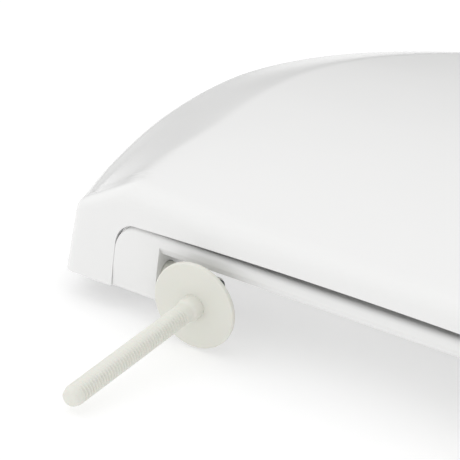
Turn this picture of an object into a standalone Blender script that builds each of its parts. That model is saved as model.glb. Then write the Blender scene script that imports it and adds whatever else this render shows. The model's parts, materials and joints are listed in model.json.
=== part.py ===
"""Toilet seat with a wrap-over lid, two damped hinges and plastic fixing bolts.

The seat lies flat on its bumpers with the lid shut, and the two hinge posts are swung back,
so that their bolts point away from the seat. Metres, +Z up, +Y towards the front of the seat.
Every piece is modelled in the hinge frame: X along the hinge axis, Y forwards, Z up.
"""

import math

import bmesh
import bpy
from mathutils import Matrix, Vector

MM = 0.001
GAP = 0.3  # left between pieces that touch

# Hinge frame and overall sizes, all in millimetres
HINGE_HEIGHT = 22.0  # hinge axis above the bumper feet
LID_HALF_WIDTH = 189.5
WIDEST_Y = 185.0
LID_FRONT_Y = 400.0
REAR_HALF_WIDTH = 147.0
REAR_Y = -8.4
FLARE_POWER = 1.6
RIM_Z = -10.6

# Lid
LID_WALL = 3.2
WALL_DRAFT = 2.0
SIDE_FILLET = 6.0
REAR_FILLET = 8.0
REAR_BOW = 4.0
PLAN_CORNER = 6.5
CORNER_LEAST = 2.5
EDGE_Z = 24.0
BAND_RISE = 10.0
BAND_WIDTH = 31.0
REAR_BAND_WIDTH = 20.0
EDGE_SWELL = 2.8
CROWN_RISE = 3.0
LENGTH_SWELL = 3.6
REAR_DIP = 4.0
NOTCH_TOP = 18.8
NOTCH_ARCH = 3.7
NOTCH_CORNER = 9.9
NOTCH_GAP = 0.4
BOSS_RADIUS = 7.6
BOSS_INNER_X = 124.3
BOSS_OUTER_X = 139.6

# Seat
SEAT_INSET = 6.2
SEAT_REAR_Y = 41.0
SEAT_WALL = 3.0
SEAT_BOTTOM = -9.2
SEAT_TOP = 17.0
HOLE_Y = 205.0
HOLE_HALF_WIDTH = 108.0
HOLE_HALF_LENGTH = 132.0
DECK_BOTTOM = 10.4
DECK_TOP = 18.2
DECK_ROUND = 4.5
DECK_LOW_ROUND = 2.5
DECK_FRONT_Y = 47.0
DECK_HALF_WIDTH = 123.2
BLOCK_INNER_X = 101.5
BLOCK_FRONT_Y = 11.8
BLOCK_BOTTOM = -10.1
BLOCK_ROUND = 8.0
BLOCK_CORNER = 9.5
BLOCK_BORE = 5.55

# Hinge posts, modelled with the bolt straight down and then swung back
POST_X = 77.5
POST_TILT = 9.0  # bolt below the horizontal, degrees
POST_HEIGHT = 16.75  # hinge axis to the face of the base disc
BARREL_RADIUS = 5.2
BARREL_OUTER_X = 107.0
BARREL_INNER_X = 78.6
PIN_HEAD_END_X = 75.6
PIN_HEAD_RADIUS = 4.6
PIN_RADIUS = 2.4
NECK_RADIUS = 6.4
NECK_TOP_RADIUS = 5.0
DISC_RADIUS = 19.0
DISC_THICK = 2.3
BOLT_RADIUS = 4.3
BOLT_LENGTH = 83.5
BOLT_TIP_RADIUS = 3.1
BOLT_SOCKET = 5.0

DAMPER_OUTER_X = 122.4
SHAFT_RADIUS = 3.0
SHAFT_OUTER_X = 137.9
BUSH_RADIUS = 4.4
FOOT_TOP_RADIUS = 8.5
FOOT_RADIUS = 9.5

ROUND = 32
FINE_ROUND = 24

BOLT_REACH = POST_HEIGHT + BOLT_LENGTH
TILT = math.radians(POST_TILT)
REAR_REACH = BOLT_REACH * math.cos(TILT) + BOLT_TIP_RADIUS * math.sin(TILT)
HINGE_Y = (REAR_REACH - LID_FRONT_Y) / 2
HINGE_AT = Vector((0.0, HINGE_Y, HINGE_HEIGHT)) * MM

WHITE = (0.86, 0.86, 0.86)
IVORY = (0.80, 0.80, 0.74)
GREY_RUBBER = (0.35, 0.35, 0.34)
DARK_METAL = (0.20, 0.20, 0.20)
STEEL = (0.55, 0.55, 0.56)
NATURAL = (0.70, 0.69, 0.63)


def clear_scene():
    for old in list(bpy.data.objects):
        bpy.data.objects.remove(old, do_unlink=True)


def new_collection(name):
    group = bpy.data.collections.new(name)
    bpy.context.scene.collection.children.link(group)
    return group


def new_material(name, colour, roughness, metallic=0.0):
    material = bpy.data.materials.new(name)
    material.use_nodes = True
    shader = material.node_tree.nodes["Principled BSDF"]
    shader.inputs["Base Color"].default_value = (*colour, 1.0)
    shader.inputs["Roughness"].default_value = roughness
    shader.inputs["Metallic"].default_value = metallic
    return material


def new_empty(name, group, turn=0.0):
    """An empty on the hinge axis, turned about X."""
    empty = bpy.data.objects.new(name, None)
    empty.location = HINGE_AT
    empty.rotation_euler.x = turn
    group.objects.link(empty)
    return empty


def finish_mesh(bm, name, group, parent=None, paint=None, sharp=35.0):
    """Makes an object of bm, whose points are in millimetres in the parent's frame."""
    bmesh.ops.scale(bm, vec=(MM, MM, MM), verts=bm.verts)
    bmesh.ops.recalc_face_normals(bm, faces=bm.faces)
    mesh = bpy.data.meshes.new(name)
    bm.to_mesh(mesh)
    bm.free()
    mesh.shade_smooth()
    mesh.set_sharp_from_angle(angle=math.radians(sharp))
    made = bpy.data.objects.new(name, mesh)
    group.objects.link(made)
    if parent is not None:
        made.parent = parent
    if paint is not None:
        mesh.materials.append(new_material(name, *paint))
    return made


def add_boolean(target, tool, operation="DIFFERENCE"):
    step = target.modifiers.new(tool.name, "BOOLEAN")
    step.operation = operation
    step.object = tool
    step.solver = "EXACT"


def hide_cutter(tool):
    tool.hide_render = True
    tool.display_type = "WIRE"
    return tool


def turned(profile, steps, axis="Z"):
    """A closed bmesh turned from (radius, height) points that run from one end to the other.

    The first and last point lie on the axis. The axis runs along Z, or along X.
    """
    bm = bmesh.new()
    line = [bm.verts.new((r, 0.0, h)) for r, h in profile]
    edges = [bm.edges.new(pair) for pair in zip(line, line[1:])]
    bmesh.ops.spin(
        bm, geom=line + edges, cent=(0, 0, 0), axis=(0, 0, 1), angle=2 * math.pi, steps=steps,
        use_merge=True,
    )
    bmesh.ops.remove_doubles(bm, verts=bm.verts, dist=0.0001)
    if axis == "X":
        bmesh.ops.rotate(bm, verts=bm.verts, matrix=Matrix.Rotation(math.pi / 2, 3, "Y"))
    return bm


def rod(radius, start, end, chamfer=0.0, axis="X"):
    """A round bar along an axis, from start to end, with chamfered ends if asked."""
    start, end = min(start, end), max(start, end)
    profile = [(0.0, start), (radius - chamfer, start)]
    if chamfer:
        profile += [(radius, start + chamfer), (radius, end - chamfer)]
    profile += [(radius - chamfer, end), (0.0, end)]
    return turned(profile, FINE_ROUND, axis)


def sleeve(inner, outer, start, end, steps=FINE_ROUND):
    """A plain bush along X."""
    bm = bmesh.new()
    rings = []
    for radius, x in ((inner, start), (outer, start), (outer, end), (inner, end)):
        angles = [2 * math.pi * k / steps for k in range(steps)]
        rings.append([bm.verts.new((x, radius * math.cos(a), radius * math.sin(a))) for a in angles])
    for ring, following in zip(rings, rings[1:] + rings[:1]):
        bridge(bm, ring, following)
    return bm


def bridge(bm, ring, following):
    """Quads between two closed rings of the same number of points."""
    count = len(ring)
    for k in range(count):
        after = (k + 1) % count
        bm.faces.new((ring[k], ring[after], following[after], following[k]))


def half_width(y):
    """Half the width of the lid's rim at a distance y in front of the hinge axis."""
    if y > WIDEST_Y:
        along = (y - WIDEST_Y) / (LID_FRONT_Y - WIDEST_Y)
        return LID_HALF_WIDTH * math.sqrt(max(0.0, 1.0 - along * along))
    back = (WIDEST_Y - y) / (WIDEST_Y - REAR_Y)
    return LID_HALF_WIDTH - (LID_HALF_WIDTH - REAR_HALF_WIDTH) * back**FLARE_POWER


def rear_line(x, rear_y, bow):
    """Where the rear edge runs: straight at the ends, bowed back between the hinge blocks."""
    reach = min(1.0, abs(x) / DECK_HALF_WIDTH)
    return rear_y - bow * (1.0 - reach * reach)


def outline(inset, rear_y, bow, corner):
    """The closed outline in plan, inset from the lid's rim, anticlockwise from the rear centre."""
    corner_y = rear_y + corner
    corner_x = half_width(rear_y) - inset
    rear_steps, corner_steps, side_steps, front_steps = 12, 3, 9, 15
    half = []
    for k in range(rear_steps):
        x = (corner_x - corner) * k / rear_steps
        half.append((x, rear_line(x, rear_y, bow)))
    side_x = half_width(corner_y) - inset
    for k in range(corner_steps + 1):
        angle = math.pi / 2 * k / corner_steps
        half.append((side_x - corner + corner * math.sin(angle), corner_y - corner * math.cos(angle)))
    for k in range(1, side_steps):
        y = corner_y + (WIDEST_Y - corner_y) * k / side_steps
        half.append((half_width(y) - inset, y))
    for k in range(front_steps + 1):
        angle = math.pi / 2 * k / front_steps
        y = WIDEST_Y + (LID_FRONT_Y - inset - WIDEST_Y) * math.sin(angle)
        half.append((max((LID_HALF_WIDTH - inset) * math.cos(angle), 0.0), y))
    other = [(-x, y) for x, y in reversed(half[1:-1])]
    return [Vector(point) for point in half + other]


def side_distance(x, y):
    """How far a point lies inside the lid's side and front edge."""
    if y <= WIDEST_Y:
        return half_width(y) - abs(x)
    across, along = x / LID_HALF_WIDTH, (y - WIDEST_Y) / (LID_FRONT_Y - WIDEST_Y)
    reach = math.hypot(across, along)
    if reach < 1e-6:
        return LID_HALF_WIDTH
    share = (along / reach) ** 2
    return (1.0 - reach) * (LID_HALF_WIDTH * (1 - share) + (LID_FRONT_Y - WIDEST_Y) * share)


def top_height(x, y):
    """The height of the lid's top skin: a sloping band round the edge and a gentle crown."""
    inside = side_distance(x, y) - WALL_DRAFT - SIDE_FILLET
    forward = min(1.0, max(0.0, (y + 8.0) / 110.0))
    forward = forward * forward * (3.0 - 2.0 * forward)
    width = REAR_BAND_WIDTH + (BAND_WIDTH - REAR_BAND_WIDTH) * forward
    across = min(1.0, max(0.0, inside / width))
    edge = EDGE_SWELL * forward
    band = edge + (BAND_RISE - edge) * (1.0 - (1.0 - across) ** 1.25)
    crown = CROWN_RISE * (1.0 - (1.0 - min(1.0, max(0.0, inside / 150.0))) ** 2)
    along = min(1.0, max(0.0, (y - REAR_Y) / (LID_FRONT_Y - REAR_Y)))
    swell = LENGTH_SWELL * math.sin(math.pi * along)
    middle = max(0.0, 1.0 - (x / DECK_HALF_WIDTH) ** 2)
    dip = REAR_DIP * middle * math.exp(-(y - REAR_Y) / 45.0)
    return EDGE_Z + band + crown + swell - dip


def lid_line(side_inset, rear_inset):
    """The outline inside the rim; its rear corners first tighten and then open out."""
    if side_inset < 10.0:
        corner = max(CORNER_LEAST, PLAN_CORNER - 0.45 * side_inset)
    else:
        corner = CORNER_LEAST + 0.9 * (side_inset - 10.0)
    return outline(side_inset, REAR_Y + rear_inset, REAR_BOW, corner)


def fillet_radius(y):
    """The rounding between wall and top, larger at the rear."""
    rear = max(0.0, 1.0 - max(0.0, y - REAR_Y) / 30.0)
    return SIDE_FILLET + (REAR_FILLET - SIDE_FILLET) * rear


def wall_ring(bm, share, turn):
    """A ring of the lid's wall, a share of the way up, or turned round the fillet above it."""
    ring = []
    edge = lid_line(WALL_DRAFT + SIDE_FILLET, SIDE_FILLET)
    for k, point in enumerate(edge):
        radius = fillet_radius(point.y - SIDE_FILLET)
        spring = top_height(point.x, point.y) - radius
        level = radius * (1 - math.cos(turn))
        spot = lid_line(WALL_DRAFT * share + level, level)[k]
        height = RIM_Z + (spring - RIM_Z) * share + radius * math.sin(turn)
        ring.append(bm.verts.new((spot.x, spot.y, height)))
    return ring


def lid_surface():
    """The lid's outer skin, open underneath: rings from the rim up the wall and over the top."""
    bm = bmesh.new()
    rings = [wall_ring(bm, share, 0.0) for share in (0.0, 0.3, 0.65, 1.0)]
    rings += [wall_ring(bm, 1.0, math.radians(turn)) for turn in (30, 60, 84)]
    for inset in (12.0, 19.0, 26.0, 34.0):
        rings.append([bm.verts.new((p.x, p.y, top_height(p.x, p.y))) for p in lid_line(inset, inset)])
    last = lid_line(34.0, 34.0)
    for share in (0.2, 0.45, 0.75):
        ring = []
        for point in last:
            spine = Vector((0.0, min(WIDEST_Y, max(REAR_Y + 130.0, point.y))))
            spot = point.lerp(spine, share)
            ring.append(bm.verts.new((spot.x, spot.y, top_height(spot.x, spot.y))))
        rings.append(ring)
    for ring, following in zip(rings, rings[1:]):
        bridge(bm, ring, following)
    middle_y = (REAR_Y + 130.0 + WIDEST_Y) / 2
    close_with_fan(bm, rings[-1], (0.0, middle_y, top_height(0.0, middle_y)))
    return bm


def close_with_fan(bm, ring, middle):
    """Triangles from a closed ring to one point in its middle."""
    hub = bm.verts.new(middle)
    for near, far in zip(ring, ring[1:] + ring[:1]):
        bm.faces.new((near, far, hub))


def extruded(outline_xz, near_y, far_y):
    """A prism along Y with a closed outline in X and Z."""
    bm = bmesh.new()
    near = [bm.verts.new((x, near_y, z)) for x, z in outline_xz]
    far = [bm.verts.new((x, far_y, z)) for x, z in outline_xz]
    bridge(bm, near, far)
    bm.faces.new(near)
    bm.faces.new(list(reversed(far)))
    return bm


def arc(centre_x, centre_z, radius, start, end, steps):
    """Points on an arc in the X-Z plane, from start to end in degrees."""
    found = []
    for k in range(steps + 1):
        angle = math.radians(start + (end - start) * k / steps)
        found.append((centre_x + radius * math.cos(angle), centre_z + radius * math.sin(angle)))
    return found


def notch_outline():
    """The opening in the lid's rear wall round the hinge blocks and the seat's rear edge."""
    side = DECK_HALF_WIDTH + NOTCH_GAP
    low = RIM_Z - 10.0
    corner_x = side - NOTCH_CORNER
    corner_z = NOTCH_TOP - NOTCH_CORNER
    right = [(side, low)] + arc(corner_x, corner_z, NOTCH_CORNER, 0, 90, 5)
    arch = []
    for k in range(1, 8):
        x = corner_x * (1 - k / 8)
        arch.append((x, NOTCH_TOP + NOTCH_ARCH * (1 - (x / corner_x) ** 2)))
    top = [(0.0, NOTCH_TOP + NOTCH_ARCH)]
    left = [(-x, z) for x, z in reversed(right + arch)]
    return right + arch + top + left


def make_lid(parts, cutters, parent):
    lid = finish_mesh(lid_surface(), "lid_shell", parts, parent, (WHITE, 0.22))
    shell = lid.modifiers.new("wall", "SOLIDIFY")
    shell.thickness = LID_WALL * MM
    shell.offset = -1.0
    shell.use_even_offset = True
    bm = extruded(notch_outline(), -30.0, -1.0)
    notch = hide_cutter(finish_mesh(bm, "cut_rear_notch", cutters, parent))
    add_boolean(lid, notch)
    for side, sign in (("left", -1), ("right", 1)):
        bm = rod(BOSS_RADIUS, sign * BOSS_INNER_X, sign * BOSS_OUTER_X, 0.4)
        boss = hide_cutter(finish_mesh(bm, f"join_{side}_boss", cutters, parent))
        add_boolean(lid, boss, "UNION")
        bm = rod(BUSH_RADIUS + GAP, sign * (BOSS_INNER_X - 3), sign * (BOSS_OUTER_X - 1.2))
        bore = hide_cutter(finish_mesh(bm, f"cut_{side}_boss_bore", cutters, parent))
        add_boolean(lid, bore)


def make_lid_fittings(parts, parent):
    """Shafts and bushes in the lid's bosses, and the pads between lid and seat."""
    for side, sign in (("left", -1), ("right", 1)):
        bm = sleeve(SHAFT_RADIUS + GAP / 3, BUSH_RADIUS, sign * BOSS_INNER_X, sign * (BOSS_OUTER_X - 1.5))
        finish_mesh(bm, f"{side}_lid_bush", parts, parent, (NATURAL, 0.5))
        bm = rod(SHAFT_RADIUS, sign * (DAMPER_OUTER_X + GAP), sign * SHAFT_OUTER_X, 0.4)
        finish_mesh(bm, f"{side}_lid_shaft", parts, parent, (STEEL, 0.3, 1.0))
    for side, sign in (("left", -1), ("right", 1)):
        for place, x, y in (("front", 86.0, 352.0), ("rear", 140.0, 95.0)):
            rim = [(x + 7 * math.cos(k * math.pi / 6), y + 7 * math.sin(k * math.pi / 6)) for k in range(12)]
            top = min(top_height(*point) for point in rim) - 1.1 * LID_WALL - 0.6
            foot = SEAT_TOP + 0.8
            profile = [(0.0, foot), (5.0, foot), (6.5, foot + 1.5), (6.5, top), (0.0, top)]
            bm = turned(profile, FINE_ROUND)
            bmesh.ops.translate(bm, verts=bm.verts, vec=(sign * x, y, 0.0))
            finish_mesh(bm, f"{side}_{place}_lid_bumper", parts, parent, (WHITE, 0.5))


def hole_point(angle):
    """A point on the edge of the seat's opening, at an angle about the opening's centre."""
    c, s = math.cos(angle), math.sin(angle)
    reach = 1.0 / math.sqrt((c / HOLE_HALF_WIDTH) ** 2 + (s / HOLE_HALF_LENGTH) ** 2)
    return Vector((reach * c, HOLE_Y + reach * s))


SEAT_ROWS = (
    # inset from the outer edge, share of the way across, inset from the hole, height
    (0.0, 0.0, 0.0, SEAT_BOTTOM),
    (0.5, 0.0, 0.0, 4.0),
    (2.6, 0.0, 0.0, 10.0),
    (8.0, 0.0, 0.0, 14.2),
    (0.0, 0.32, 0.0, SEAT_TOP),
    (0.0, 0.58, 0.0, SEAT_TOP),
    (0.0, 1.0, 10.0, 14.4),
    (0.0, 1.0, 3.2, 9.6),
    (0.0, 1.0, 0.6, 3.0),
    (0.0, 1.0, 0.0, SEAT_BOTTOM),
)


def seat_row(outer, inner, row):
    out_inset, share, hole_inset, _ = row
    way = (inner - outer).normalized()
    return (outer + way * out_inset).lerp(inner - way * hole_inset, share)


def seat_outlines():
    outer = outline(SEAT_INSET, SEAT_REAR_Y, 0.0, 26.0)
    angles = [math.atan2(p.y - HOLE_Y, p.x) for p in outer]
    return outer, [hole_point(a) for a in angles]


def make_seat(parts, cutters, parent):
    outer, inner = seat_outlines()
    bm = bmesh.new()
    rings = []
    for row in SEAT_ROWS:
        spots = [seat_row(o, i, row) for o, i in zip(outer, inner)]
        rings.append([bm.verts.new((p.x, p.y, row[3])) for p in spots])
    for ring, following in zip(rings, rings[1:]):
        bridge(bm, ring, following)
    seat = finish_mesh(bm, "seat_ring", parts, parent, (WHITE, 0.25))
    shell = seat.modifiers.new("wall", "SOLIDIFY")
    shell.thickness = SEAT_WALL * MM
    shell.offset = -1.0
    shell.use_even_offset = True
    add_boolean(seat, hide_cutter(finish_mesh(deck_body(), "join_rear_deck", cutters, parent)), "UNION")
    for side, sign in (("left", -1), ("right", 1)):
        block = hide_cutter(finish_mesh(block_body(sign), f"join_{side}_hinge_block", cutters, parent))
        add_boolean(seat, block, "UNION")
        bm = rod(BLOCK_BORE, sign * (BLOCK_INNER_X - 5), sign * (DECK_HALF_WIDTH + 5))
        add_boolean(seat, hide_cutter(finish_mesh(bm, f"cut_{side}_block_bore", cutters, parent)))
    return outer, inner


def section_prism(section, start_x, end_x):
    """A prism along X with a closed outline in Y and Z."""
    bm = bmesh.new()
    near = [bm.verts.new((start_x, y, z)) for y, z in section]
    far = [bm.verts.new((end_x, y, z)) for y, z in section]
    bridge(bm, near, far)
    bm.faces.new(near)
    bm.faces.new(list(reversed(far)))
    return bm


def deck_body():
    """The seat's rear edge between the hinge blocks: a plate with a rounded nose."""
    nose = arc(REAR_Y + DECK_ROUND, DECK_TOP - DECK_ROUND, DECK_ROUND, 90, 180, 4)
    under = arc(REAR_Y + DECK_LOW_ROUND, DECK_BOTTOM + DECK_LOW_ROUND, DECK_LOW_ROUND, 180, 270, 3)
    section = nose + under + [(DECK_FRONT_Y, DECK_BOTTOM), (DECK_FRONT_Y, 15.4), (32.0, 16.2)]
    reach = DECK_HALF_WIDTH - BLOCK_CORNER - 2.0
    return section_prism(section, -reach, reach)


def block_body(sign):
    """A hinge block: rounded over the top and at its outer top corner, with a low draft."""
    top = DECK_TOP + 0.05
    nose = arc(REAR_Y + BLOCK_ROUND, top - BLOCK_ROUND, BLOCK_ROUND, 90, 180, 5)
    section = nose + [(REAR_Y, 0.0), (REAR_Y + 1.0, BLOCK_BOTTOM)]
    section += [(BLOCK_FRONT_Y, BLOCK_BOTTOM), (BLOCK_FRONT_Y, top)]
    bm = section_prism(section, sign * BLOCK_INNER_X, sign * (DECK_HALF_WIDTH - BLOCK_CORNER))
    # the outer end follows the rounded corner, in slices that drop towards the end face
    last = [v for v in bm.verts if abs(v.co.x - sign * (DECK_HALF_WIDTH - BLOCK_CORNER)) < 0.001]
    cap = [f for f in bm.faces if all(v in last for v in f.verts)]
    bmesh.ops.delete(bm, geom=cap, context="FACES")
    ring = last
    steps = 4
    for k in range(1, steps + 1):
        angle = math.pi / 2 * k / steps
        x = sign * (DECK_HALF_WIDTH - BLOCK_CORNER + BLOCK_CORNER * math.sin(angle))
        drop = BLOCK_CORNER * (1 - math.cos(angle))
        following = []
        for v, (y, z) in zip(last, section):
            level = z - drop if z > top - BLOCK_ROUND - 0.5 else z
            following.append(bm.verts.new((x, y, level)))
        bridge(bm, ring, following)
        ring = following
    bm.faces.new(ring)
    return bm


def make_underside(parts, parent, outer, inner):
    """The flat ring that closes the seat from below."""
    bm = bmesh.new()
    margin = SEAT_WALL + 1.0
    rings = []
    for out_inset, share, hole_inset, z in (
        (margin, 0.0, 0.0, SEAT_BOTTOM + 0.4), (margin, 0.0, 0.0, SEAT_BOTTOM + 2.6),
        (0.0, 1.0, margin, SEAT_BOTTOM + 2.6), (0.0, 1.0, margin, SEAT_BOTTOM + 0.4),
    ):
        spots = [seat_row(o, i, (out_inset, share, hole_inset, z)) for o, i in zip(outer, inner)]
        rings.append([bm.verts.new((p.x, p.y, z)) for p in spots])
    for ring, following in zip(rings, rings[1:] + rings[:1]):
        bridge(bm, ring, following)
    finish_mesh(bm, "seat_underside", parts, parent, (WHITE, 0.4))


def make_feet(parts, parent):
    """The rubber bumpers that the seat rests on."""
    top = SEAT_BOTTOM + 0.4 - GAP
    floor = -HINGE_HEIGHT
    profile = [
        (0.0, floor), (FOOT_RADIUS - 2.0, floor), (FOOT_RADIUS - 0.6, floor + 0.8),
        (FOOT_RADIUS, floor + 3.0), (FOOT_TOP_RADIUS, top), (0.0, top),
    ]
    for side, sign in (("left", -1), ("right", 1)):
        for place, x, y in (("front", 82.0, 345.0), ("rear", 143.0, 120.0)):
            bm = turned(profile, FINE_ROUND)
            bmesh.ops.translate(bm, verts=bm.verts, vec=(sign * x, y, 0.0))
            finish_mesh(bm, f"{side}_{place}_seat_bumper", parts, parent, (GREY_RUBBER, 0.7))


def make_dampers(parts, parent):
    """A rotary damper in each hinge block and the grub screw that holds it."""
    for side, sign in (("left", -1), ("right", 1)):
        start = sign * (BARREL_OUTER_X + GAP + 0.4)
        bm = rod(BLOCK_BORE - GAP, start, sign * DAMPER_OUTER_X, 0.5)
        finish_mesh(bm, f"{side}_damper", parts, parent, (NATURAL, 0.45))


def make_post(parts, cutters, parent, side, sign):
    """One hinge post: barrel and neck in one moulding, its pin, base disc and bolt."""
    bm = rod(BARREL_RADIUS, sign * (BARREL_INNER_X - 2), sign * BARREL_OUTER_X, 0.5)
    post = finish_mesh(bm, f"{side}_hinge_post", parts, parent, (IVORY, 0.4))
    neck_low = -(POST_HEIGHT - DISC_THICK - GAP)
    profile = [
        (0.0, neck_low), (NECK_RADIUS, neck_low), (NECK_RADIUS, -9.5), (NECK_TOP_RADIUS, -6.5),
        (NECK_TOP_RADIUS, 2.5), (0.0, 2.5),
    ]
    bm = turned(profile, FINE_ROUND)
    bmesh.ops.translate(bm, verts=bm.verts, vec=(sign * POST_X, 0.0, 0.0))
    add_boolean(post, hide_cutter(finish_mesh(bm, f"join_{side}_neck", cutters, parent)), "UNION")
    bm = rod(PIN_HEAD_RADIUS + GAP, sign * (BARREL_INNER_X - 12), sign * BARREL_INNER_X)
    add_boolean(post, hide_cutter(finish_mesh(bm, f"cut_{side}_head_recess", cutters, parent)))
    bm = rod(PIN_RADIUS + GAP, sign * (BARREL_INNER_X - 5), sign * (BARREL_OUTER_X - 2.0))
    add_boolean(post, hide_cutter(finish_mesh(bm, f"cut_{side}_pin_bore", cutters, parent)))
    bm = rod(BOLT_RADIUS + GAP, neck_low - 2.0, neck_low + BOLT_SOCKET, 0.0, "Z")
    bmesh.ops.translate(bm, verts=bm.verts, vec=(sign * POST_X, 0.0, 0.0))
    add_boolean(post, hide_cutter(finish_mesh(bm, f"cut_{side}_bolt_socket", cutters, parent)))

    head_end, head_start = sign * PIN_HEAD_END_X, sign * (BARREL_INNER_X - GAP)
    shank_end = sign * (BARREL_OUTER_X - 2.5)
    profile = [
        (0.0, head_end), (PIN_HEAD_RADIUS - 0.8, head_end), (PIN_HEAD_RADIUS, head_end + sign * 0.8),
        (PIN_HEAD_RADIUS, head_start),
        (PIN_RADIUS, head_start), (PIN_RADIUS, shank_end), (0.0, shank_end),
    ]
    finish_mesh(turned(profile, FINE_ROUND, "X"), f"{side}_hinge_pin", parts, parent, (DARK_METAL, 0.4, 0.8))

    disc_top, face = -(POST_HEIGHT - DISC_THICK), -POST_HEIGHT
    bm = ring_disc(BOLT_RADIUS + GAP, DISC_RADIUS, disc_top, face)
    bmesh.ops.translate(bm, verts=bm.verts, vec=(sign * POST_X, 0.0, 0.0))
    finish_mesh(bm, f"{side}_base_disc", parts, parent, (IVORY, 0.4))

    tip = -(POST_HEIGHT + BOLT_LENGTH)
    profile = [
        (0.0, tip), (BOLT_TIP_RADIUS, tip), (BOLT_RADIUS, tip + 2.4), (BOLT_RADIUS, neck_low + BOLT_SOCKET - GAP),
        (0.0, neck_low + BOLT_SOCKET - GAP),
    ]
    bm = turned(profile, FINE_ROUND)
    bmesh.ops.translate(bm, verts=bm.verts, vec=(sign * POST_X, 0.0, 0.0))
    finish_mesh(bm, f"{side}_fixing_bolt", parts, parent, (IVORY, 0.4))


def ring_disc(inner, outer, top, face):
    """A flat disc about Z with a centre hole and a softened rim."""
    soft = 0.7
    bm = bmesh.new()
    rings = []
    rows = (
        (inner, face), (outer - soft, face), (outer, face + soft),
        (outer, top - soft), (outer - soft, top), (inner, top),
    )
    for radius, z in rows:
        angles = [2 * math.pi * k / ROUND for k in range(ROUND)]
        rings.append([bm.verts.new((radius * math.cos(a), radius * math.sin(a), z)) for a in angles])
    for ring, following in zip(rings, rings[1:] + rings[:1]):
        bridge(bm, ring, following)
    return bm


def main():
    clear_scene()
    parts = new_collection("toilet_seat")
    cutters = new_collection("cutters")
    seat_frame = new_empty("seat_frame", parts)
    lid_axis = new_empty("lid_axis", parts)
    make_lid(parts, cutters, lid_axis)
    make_lid_fittings(parts, lid_axis)
    outer, inner = make_seat(parts, cutters, seat_frame)
    make_underside(parts, seat_frame, outer, inner)
    make_feet(parts, seat_frame)
    make_dampers(parts, seat_frame)
    swung_back = TILT - math.pi / 2
    for side, sign in (("left", -1), ("right", 1)):
        axis = new_empty(f"{side}_post_axis", parts, swung_back)
        make_post(parts, cutters, axis, side, sign)


main()
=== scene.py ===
"""Looks for a toilet seat with a wrap-over lid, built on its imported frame.

Shapes are worked out in millimetres in the hinge frame, X along the hinge axis, Y towards the
front of the seat and Z up, and are then placed on the frame's hinge axis.
"""
import json
import math

import bmesh
import bpy
from bpy.props import FloatProperty, FloatVectorProperty, IntProperty, PointerProperty
from mathutils import Euler, Matrix, Vector


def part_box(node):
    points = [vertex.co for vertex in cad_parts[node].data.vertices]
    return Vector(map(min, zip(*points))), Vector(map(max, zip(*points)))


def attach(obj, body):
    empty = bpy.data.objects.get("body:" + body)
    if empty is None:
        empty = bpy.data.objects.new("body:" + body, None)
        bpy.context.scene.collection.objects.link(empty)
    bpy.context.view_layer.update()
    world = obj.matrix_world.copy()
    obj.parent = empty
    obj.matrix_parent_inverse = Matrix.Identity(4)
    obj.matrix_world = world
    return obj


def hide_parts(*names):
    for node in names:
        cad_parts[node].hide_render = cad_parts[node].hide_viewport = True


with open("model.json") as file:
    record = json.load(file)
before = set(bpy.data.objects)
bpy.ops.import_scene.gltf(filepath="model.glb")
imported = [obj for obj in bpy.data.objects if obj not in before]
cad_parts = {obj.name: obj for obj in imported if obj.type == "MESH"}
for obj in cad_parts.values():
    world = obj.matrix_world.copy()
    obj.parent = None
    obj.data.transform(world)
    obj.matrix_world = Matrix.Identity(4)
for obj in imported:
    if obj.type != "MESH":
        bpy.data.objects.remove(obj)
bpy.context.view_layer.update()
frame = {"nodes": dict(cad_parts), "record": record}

bl_info = {
    "name": "Toilet Seat Looks",
    "version": (1, 0, 0),
    "blender": (4, 5, 0),
    "location": "View3D > Sidebar > Toilet Seat",
    "description": "Builds the surfaces, materials and studio of a toilet seat",
    "category": "Object",
}

MM = 0.001
AXIS = Vector(next(j for j in frame["record"]["behaviour"]["joints"] if j["name"] == "lid_hinge")["pos_m"])

# Lid, in millimetres
LID_HALF_WIDTH = 189.5
WIDEST_Y = 185.0
LID_FRONT_Y = 400.0
REAR_HALF_WIDTH = 147.0
REAR_Y = -8.4
FLARE_POWER = 1.6
RIM_Z = -10.6
LID_WALL = 3.2
WALL_DRAFT = 2.0
SIDE_FILLET = 6.0
REAR_FILLET = 8.0
REAR_FILLET_FADE = 30.0
REAR_BOW = 4.0
PLAN_CORNER = 6.5
CORNER_LEAST = 2.5
CORNER_TURN = 10.0
CORNER_TIGHTEN = 0.45
CORNER_OPEN = 0.9
EDGE_Z = 24.0
BAND_RISE = 10.0
BAND_WIDTH = 31.0
REAR_BAND_WIDTH = 20.0
BAND_GROW_Y = -8.0
BAND_GROW_LENGTH = 110.0
BAND_POWER = 1.25
EDGE_SWELL = 2.8
CROWN_RISE = 3.0
CROWN_REACH = 150.0
LENGTH_SWELL = 3.6
REAR_DIP = 4.0
REAR_DIP_LENGTH = 45.0
NOTCH_TOP = 18.8
NOTCH_ARCH = 3.7
NOTCH_CORNER = 9.6
NOTCH_GAP = 0.15
BOSS_RADIUS = 7.6
BOSS_INNER_X = 124.3
BOSS_OUTER_X = 139.6
BUSH_BORE = 4.7

# Rows of faces on the lid's skin, from the rim up and inwards
WALL_ROWS = 5
TOP_ROWS = 17
TOP_ROW_INSET = 10.5
TOP_ROW_GAP = 2.2
INNER_ROWS = 16
INNER_ROW_INSET = 46.5
INNER_ROW_SHARE = 0.06
SPINE_REACH = 130.0

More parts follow.
